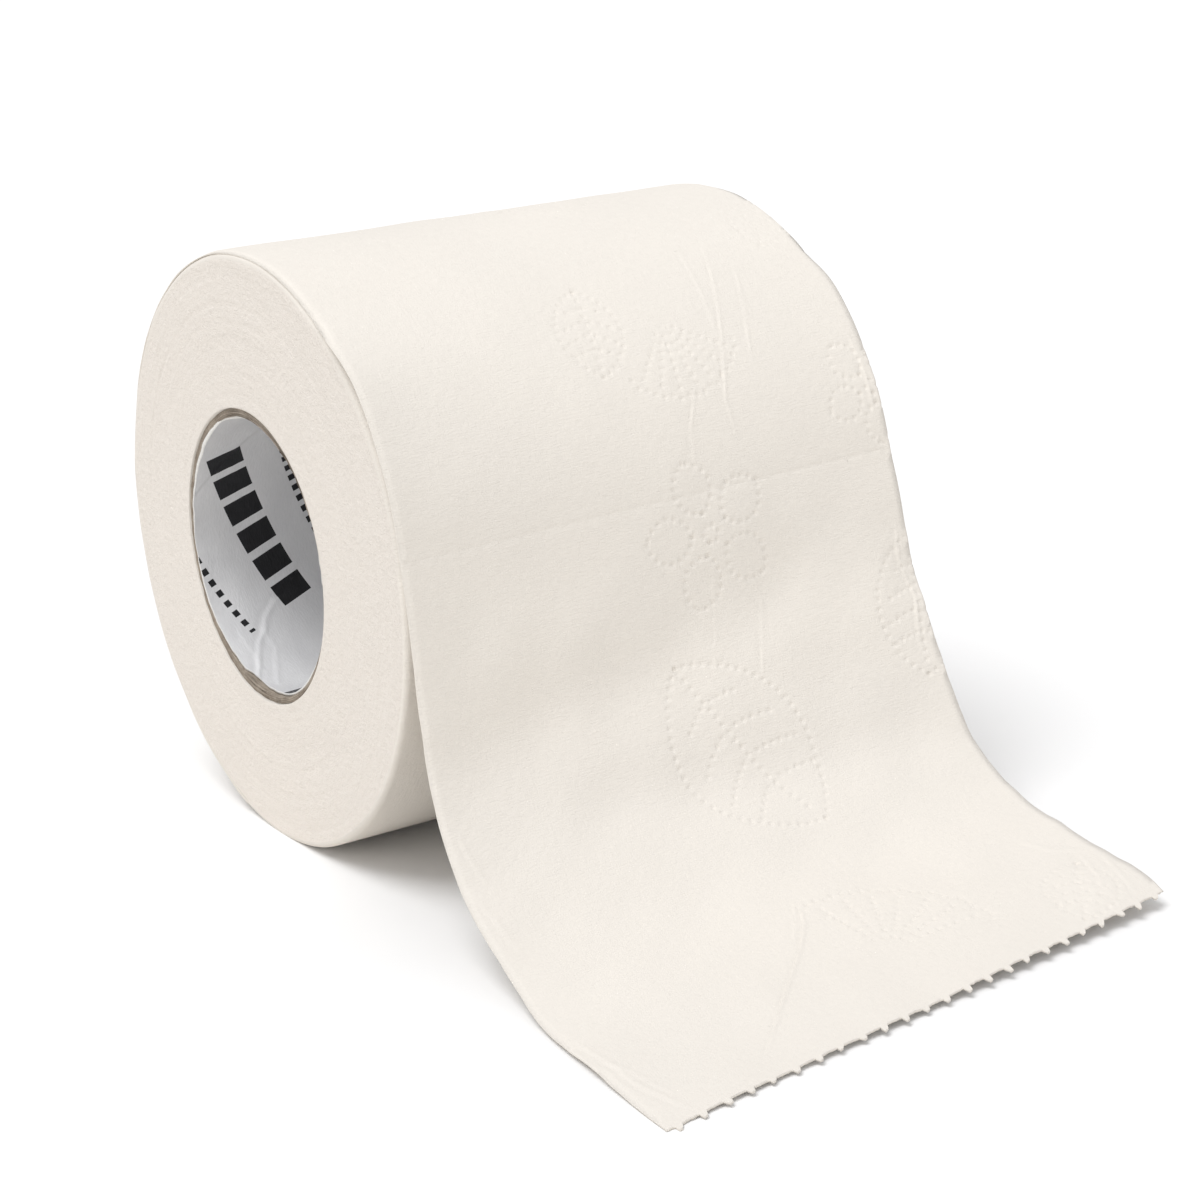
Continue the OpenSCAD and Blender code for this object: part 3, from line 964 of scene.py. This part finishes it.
def soft_paper(m):
    """The dull face of soft paper, and its faint bloom at a low angle."""
    m.bsdf.inputs["Specular IOR Level"].default_value = 0.12
    m.bsdf.inputs["Sheen Weight"].default_value = 0.1
    m.bsdf.inputs["Sheen Roughness"].default_value = 0.6


def sheet_material():
    """Creped tissue: fine cross ridges, a faint felt weave and loose fibres."""
    m = Nodes("tissue")
    place = m.add("ShaderNodeTexCoord").outputs["UV"]
    crepe = m.noise(m.stretch(place, 70, 330, 1), 1.0, 2, 0.6)
    weave = m.noise(m.stretch(place, 260, 55, 1), 1.0, 2, 0.6)
    fibre = m.noise(m.stretch(place, 500, 500, 1), 1.0, 3, 0.7)
    mottle = m.noise(m.stretch(place, 60, 60, 1), 1.0, 4, 0.6)
    m.bump(m.weighted((crepe, 0.45), (weave, 0.3), (fibre, 0.3), (mottle, 0.6)), 0.2)
    cloud = m.noise(m.stretch(place, 3, 3, 1), 1.0, 2, 0.5)
    # Painted shade: the colour darkens where the flat place lies 28 to 50 mm or more along, which on the
    # loose sheet is its tail past the leaving line, standing in for the softer light there
    along = m.add("ShaderNodeSeparateXYZ", place).outputs["Y"]
    painted_tail_shade = m.add("ShaderNodeMapRange", along, 0.28, 0.5, 0.0, 0.24)
    tone = m.weighted((cloud, 0.35), (mottle, 0.25), (painted_tail_shade, -1.0))
    colour = m.colours(tone, 0.1, 0.5, (0.798, 0.756, 0.702), (0.872, 0.825, 0.762))
    m.set(m.bsdf.inputs["Base Color"], colour)
    soft_paper(m)
    return m.finish(0.92)


def end_material():
    """Cut edges of many turns: short fine lines along the turns and a felted nap."""
    m = Nodes("tissue_ends")
    place = m.add("ShaderNodeSeparateXYZ", m.add("ShaderNodeTexCoord").outputs["Object"])
    y = m.math("ADD", place.outputs["Y"], 0.5 * core_back * MM)
    z = m.math("SUBTRACT", place.outputs["Z"], 0.5 * core_drop * MM)
    radius = m.math("SQRT", m.math("ADD", m.math("MULTIPLY", y, y), m.math("MULTIPLY", z, z)))
    side_y, side_z = m.math("DIVIDE", y, radius), m.math("DIVIDE", z, radius)
    polar = m.add(
        "ShaderNodeCombineXYZ", m.math("MULTIPLY", radius, 1000.0),
        m.math("MULTIPLY", side_y, 37.0), m.math("MULTIPLY", side_z, 37.0),
    )
    fine = m.noise(m.stretch(polar, 4.0, 0.9, 0.9), 1.0, 3, 0.7)
    broad = m.noise(m.stretch(polar, 1.1, 0.12, 0.12), 1.0, 2, 0.5)
    nap = m.noise(m.add("ShaderNodeTexCoord").outputs["Object"], 3200.0, 3, 0.7)
    felt = m.noise(m.add("ShaderNodeTexCoord").outputs["Object"], 900.0, 3, 0.6)
    m.bump(m.weighted((fine, 0.3), (broad, 0.1), (nap, 0.6), (felt, 1.0)), 0.32)
    tone = m.weighted((fine, 0.4), (broad, 0.25), (felt, 0.35))
    colour = m.colours(tone, 0.3, 0.7, (0.82, 0.765, 0.705), (0.872, 0.82, 0.765))
    m.set(m.bsdf.inputs["Base Color"], colour)
    soft_paper(m)
    return m.finish(0.95)


def cardboard_material():
    """Grey-brown board, in layers that show at the cut end."""
    m = Nodes("cardboard")
    place = m.add("ShaderNodeTexCoord").outputs["Object"]
    fibre = m.noise(place, 1500.0, 3, 0.7)
    blot = m.noise(place, 260.0, 3, 0.6)
    split = m.add("ShaderNodeSeparateXYZ", place)
    y, z = split.outputs["Y"], split.outputs["Z"]
    radius = m.math("SQRT", m.math("ADD", m.math("MULTIPLY", y, y), m.math("MULTIPLY", z, z)))
    layers = m.math("SINE", m.math("MULTIPLY", radius, 2 * math.pi * 3000.0))
    m.bump(m.weighted((fibre, 0.6), (blot, 0.6), (layers, 0.25)), 0.15)
    tone = m.weighted((blot, 0.6), (fibre, 0.3), (layers, 0.05))
    colour = m.colours(tone, 0.3, 0.6, (0.22, 0.18, 0.145), (0.44, 0.38, 0.315))
    m.set(m.bsdf.inputs["Base Color"], colour)
    return m.finish(0.9, Specular_IOR_Level=0.2)


# Print on the liner: rows of blocks that slant round the bore, with small dots between them
print_start = (-42.1, 15.7)
print_way = (0.367, -0.93)
row_pitch, row_gap, row_l = 22.0, 18.0, 34.2
block_pitch, block_l, block_h = 5.7, 4.2, 6.4
dots_at, small_pitch, small_d = 10.2, 2.28, 1.2


def liner_material():
    """Silver-grey paper, printed with slanting rows of plain dark blocks and small dots."""
    m = Nodes("liner")
    place = m.add("ShaderNodeTexCoord").outputs["UV"]
    grain = m.noise(m.stretch(place, 300, 90, 1), 1.0, 3, 0.6)
    cloud = m.noise(m.stretch(place, 14, 9, 1), 1.0, 3, 0.5)
    m.bump(m.weighted((grain, 0.35), (cloud, 1.6)), 0.2)
    split = m.add("ShaderNodeSeparateXYZ", place)
    x = m.math("MULTIPLY_ADD", split.outputs["X"], 100.0, -print_start[0])
    y = m.math("MULTIPLY_ADD", split.outputs["Y"], 100.0, -print_start[1])
    along = m.weighted((x, print_way[0]), (y, print_way[1]))
    across = m.weighted((x, -print_way[1]), (y, print_way[0]))

    def near(value, shift, pitch, width):
        """1 within half the width of a place that repeats at each pitch."""
        off = m.math("PINGPONG", m.math("SUBTRACT", value, shift), pitch / 2)
        return m.math("LESS_THAN", off, width / 2)

    in_row = near(along, row_l / 2, row_l + row_gap, row_l)
    blocks = m.math(
        "MULTIPLY", near(along, block_pitch / 2, block_pitch, block_l),
        near(across, 0.0, row_pitch, block_h),
    )
    dots = m.math(
        "MULTIPLY", near(along, 0.0, small_pitch, small_d), near(across, dots_at, row_pitch, small_d)
    )
    ink = m.math("MULTIPLY", in_row, m.math("MAXIMUM", blocks, dots))
    tone = m.weighted((cloud, 0.7), (grain, 0.3))
    paper = m.colours(tone, 0.3, 0.7, (0.65, 0.65, 0.665), (0.76, 0.76, 0.77))
    colour = m.add("ShaderNodeMix", data_type="RGBA")
    m.set(colour.inputs["Factor"], ink)
    m.set(colour.inputs[6], paper)
    m.set(colour.inputs[7], (0.012, 0.012, 0.014, 1))
    m.set(m.bsdf.inputs["Base Color"], colour.outputs[2])
    return m.finish(0.45, Specular_IOR_Level=0.4)


def liner_edge_material():
    """White fibres at the liner's torn ends."""
    m = Nodes("liner_edge")
    fibre = m.noise(m.add("ShaderNodeTexCoord").outputs["Object"], 2500.0, 3, 0.7)
    m.bump(fibre, 0.1)
    m.set(m.bsdf.inputs["Base Color"], m.colours(fibre, 0.3, 0.7, (0.7, 0.69, 0.67), (0.86, 0.85, 0.83)))
    return m.finish(0.9, Specular_IOR_Level=0.1)


tissue = sheet_material()
tissue_ends = end_material()
wound_turns = make_wound_turns(tissue, tissue_ends)
loose_sheet = make_sheet("loose_sheet", -1, 2, True, tissue)
wrapped_sheet = make_sheet("wrapped_sheet", -2, -1, False, tissue)
cardboard_tube = make_tube(cardboard_material())
paper_liner = make_liner(liner_material(), liner_edge_material())
for piece, slot, node in (
    (wound_turns, "tissue", "tissue_web"),
    (loose_sheet, "tissue", "tissue_web"),
    (wrapped_sheet, "tissue", "tissue_web"),
    (cardboard_tube, "cardboard", "core_tube"),
    (paper_liner, "liner", "core_liner"),
):
    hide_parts(node)
    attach(piece, "root")


# Camera, light and floor

def make_camera():
    """The camera of the reference view: place in mm, the way it looks, and its focal length."""
    place = Vector((-219.7, -376.2, 111.1)) * MM
    yaw, pitch, roll = math.radians(32.64), math.radians(16.43), math.radians(-2.46)
    ahead = Vector((math.sin(yaw) * math.cos(pitch), math.cos(yaw) * math.cos(pitch), -math.sin(pitch)))
    level = Vector((math.cos(yaw), -math.sin(yaw), 0))
    above = level.cross(ahead)
    right = math.cos(roll) * level + math.sin(roll) * above
    up = math.cos(roll) * above - math.sin(roll) * level
    data = bpy.data.cameras.new("camera")
    data.sensor_width = 36
    data.lens = 77.13
    data.clip_start = 0.01
    data.clip_end = 30
    camera = bpy.data.objects.new("camera", data)
    turn = Matrix((right, up, -ahead)).transposed().to_4x4()
    camera.matrix_world = Matrix.Translation(place) @ turn
    bpy.context.scene.collection.objects.link(camera)
    bpy.context.scene.camera = camera


def make_light():
    """Even light from all round, white to the camera, and two broad lights."""
    world = bpy.data.worlds.new("world")
    bpy.context.scene.world = world
    world.use_nodes = True
    tree = world.node_tree
    background = tree.nodes["Background"]
    background.inputs["Color"].default_value = (1, 1, 1, 1)
    rays = tree.nodes.new("ShaderNodeLightPath")
    strength = tree.nodes.new("ShaderNodeMapRange")
    strength.inputs["To Min"].default_value = 0.63
    strength.inputs["To Max"].default_value = 1.0
    tree.links.new(rays.outputs["Is Camera Ray"], strength.inputs["Value"])
    tree.links.new(strength.outputs["Result"], background.inputs["Strength"])
    # A broad light from the upper left, and a weak one from the front
    for name, energy, angle, turn in (("sun", 1.66, 35, (1, -23, 0)), ("fill", 0.45, 80, (80, 0, -28))):
        sun = bpy.data.lights.new(name, "SUN")
        sun.energy = energy
        sun.angle = math.radians(angle)
        lamp = bpy.data.objects.new(name, sun)
        lamp.rotation_euler = [math.radians(v) for v in turn]
        bpy.context.scene.collection.objects.link(lamp)


def make_floor():
    """A plain pale floor, a little lighter to the camera than to other rays."""
    side = 6000
    corners = [(sx * side, sy * side, floor_z) for sx, sy in ((-1, -1), (1, -1), (1, 1), (-1, 1))]
    m = Nodes("floor")
    seen = m.add("ShaderNodeLightPath").outputs["Is Camera Ray"]
    m.set(m.bsdf.inputs["Base Color"], m.colours(seen, 0, 1, (0.85, 0.83, 0.8), (0.93, 0.93, 0.935)))
    floor = new_object("floor", corners, [(0, 1, 2, 3)], [m.finish(1.0, Specular_IOR_Level=0.0)])


make_camera()
make_light()
make_floor()
bpy.context.scene.view_settings.view_transform = "Standard"
